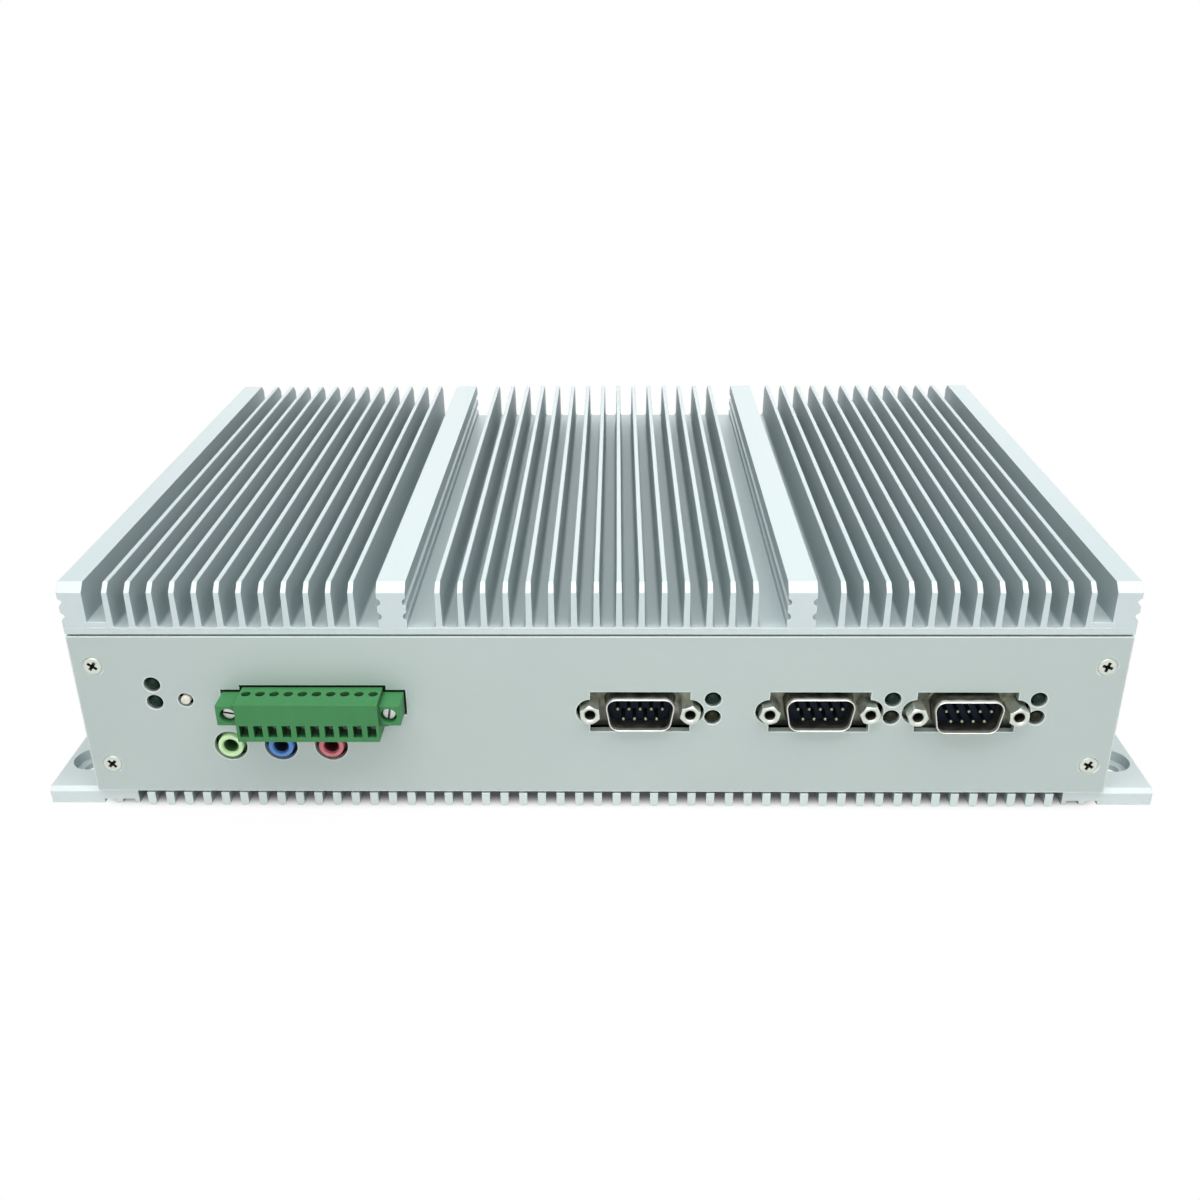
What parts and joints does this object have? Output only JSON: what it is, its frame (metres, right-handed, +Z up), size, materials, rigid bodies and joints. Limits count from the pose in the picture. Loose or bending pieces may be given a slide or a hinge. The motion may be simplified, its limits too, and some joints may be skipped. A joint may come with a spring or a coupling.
{
  "type": "fanless industrial pc",
  "caption": "Fanless industrial computer in a finned aluminium case with serial sockets, a green terminal plug, round sound sockets and flanges to bolt it down.",
  "frame": {"origin": "centre of the four mounting holes, on the plane that the flanges stand on", "axes": "+X to the right as seen from the front, +Y from the front panel to the rear panel, +Z up"},
  "size_m": [0.2866, 0.1844, 0.0635],
  "materials": {
    "case_aluminium": "satin anodised extrusion",
    "panel_aluminium": "satin sheet with a clear finish",
    "nickel": "nickel-plated steel",
    "zinc_steel": "plated steel",
    "black_plastic": "black moulding",
    "navy_plastic": "dark insulating moulding",
    "gold": "gold-plated contact",
    "green_plastic": "green moulding",
    "lime_plastic": "lime green moulding",
    "blue_plastic": "blue moulding",
    "pink_plastic": "pink moulding",
    "green_lamp": "dark green lens",
    "amber_lamp": "dark amber lens",
    "ivory_plastic": "ivory moulding",
    "board": "green circuit board",
    "chip": "black chip package",
    "paste": "grey heat paste",
    "raw_aluminium": "milled block",
    "can": "aluminium can",
    "ferrite": "grey ferrite"
  },
  "bodies": {
    "chassis": {"top_heatsink": "case_aluminium", "bottom_base": "case_aluminium", "left_side_wall": "case_aluminium", "right_side_wall": "case_aluminium", "front_panel": "panel_aluminium", "rear_panel": "panel_aluminium", "front_panel_screws": "nickel", "rear_panel_screws": "nickel", "heatsink_screws": "nickel", "base_screws": "nickel", "serial_shell_1": "nickel", "serial_shell_2": "nickel", "serial_shell_3": "nickel", "video_shell": "nickel", "serial_insulator_1": "navy_plastic", "serial_insulator_2": "navy_plastic", "serial_insulator_3": "navy_plastic", "video_insulator": "navy_plastic", "serial_pins_1": "gold", "serial_pins_2": "gold", "serial_pins_3": "gold", "serial_jackscrews": "nickel", "video_jackscrews": "nickel", "status_lights": "green_lamp", "send_lights": "green_lamp", "receive_lights": "amber_lamp", "button_switch": "black_plastic", "line_out_jack": "lime_plastic", "line_in_jack": "blue_plastic", "microphone_jack": "pink_plastic", "terminal_header": "black_plastic", "terminal_pins": "gold", "terminal_plug": "green_plastic", "wire_clamps": "zinc_steel", "wire_clamp_screws": "zinc_steel", "plug_flange_screws": "zinc_steel", "main_board": "board", "front_board": "board", "board_standoffs": "zinc_steel", "board_link": "black_plastic", "inner_screws": "zinc_steel", "processor": "chip", "processor_paste": "paste", "heat_block": "raw_aluminium", "memory_module": "board", "memory_socket": "black_plastic", "cell_holder": "black_plastic", "coin_cell": "zinc_steel", "drive_bracket": "zinc_steel", "storage_drive": "raw_aluminium", "drive_screws": "zinc_steel", "drive_riser": "board", "capacitors": "can", "supply_coils": "ferrite", "power_inlet": "black_plastic", "power_inlet_pin": "nickel", "network_sockets": "black_plastic", "usb_shells": "zinc_steel", "usb_tongues": "black_plastic"},
    "front_button": {"front_button": "ivory_plastic"}
  },
  "joints": [
    {"name": "front_button_press", "type": "slide", "parent": "chassis", "child": "front_button", "axis": [0, 1, 0], "range_m": [0, 0.0005], "stiffness_N_per_m": 300}
  ]
}
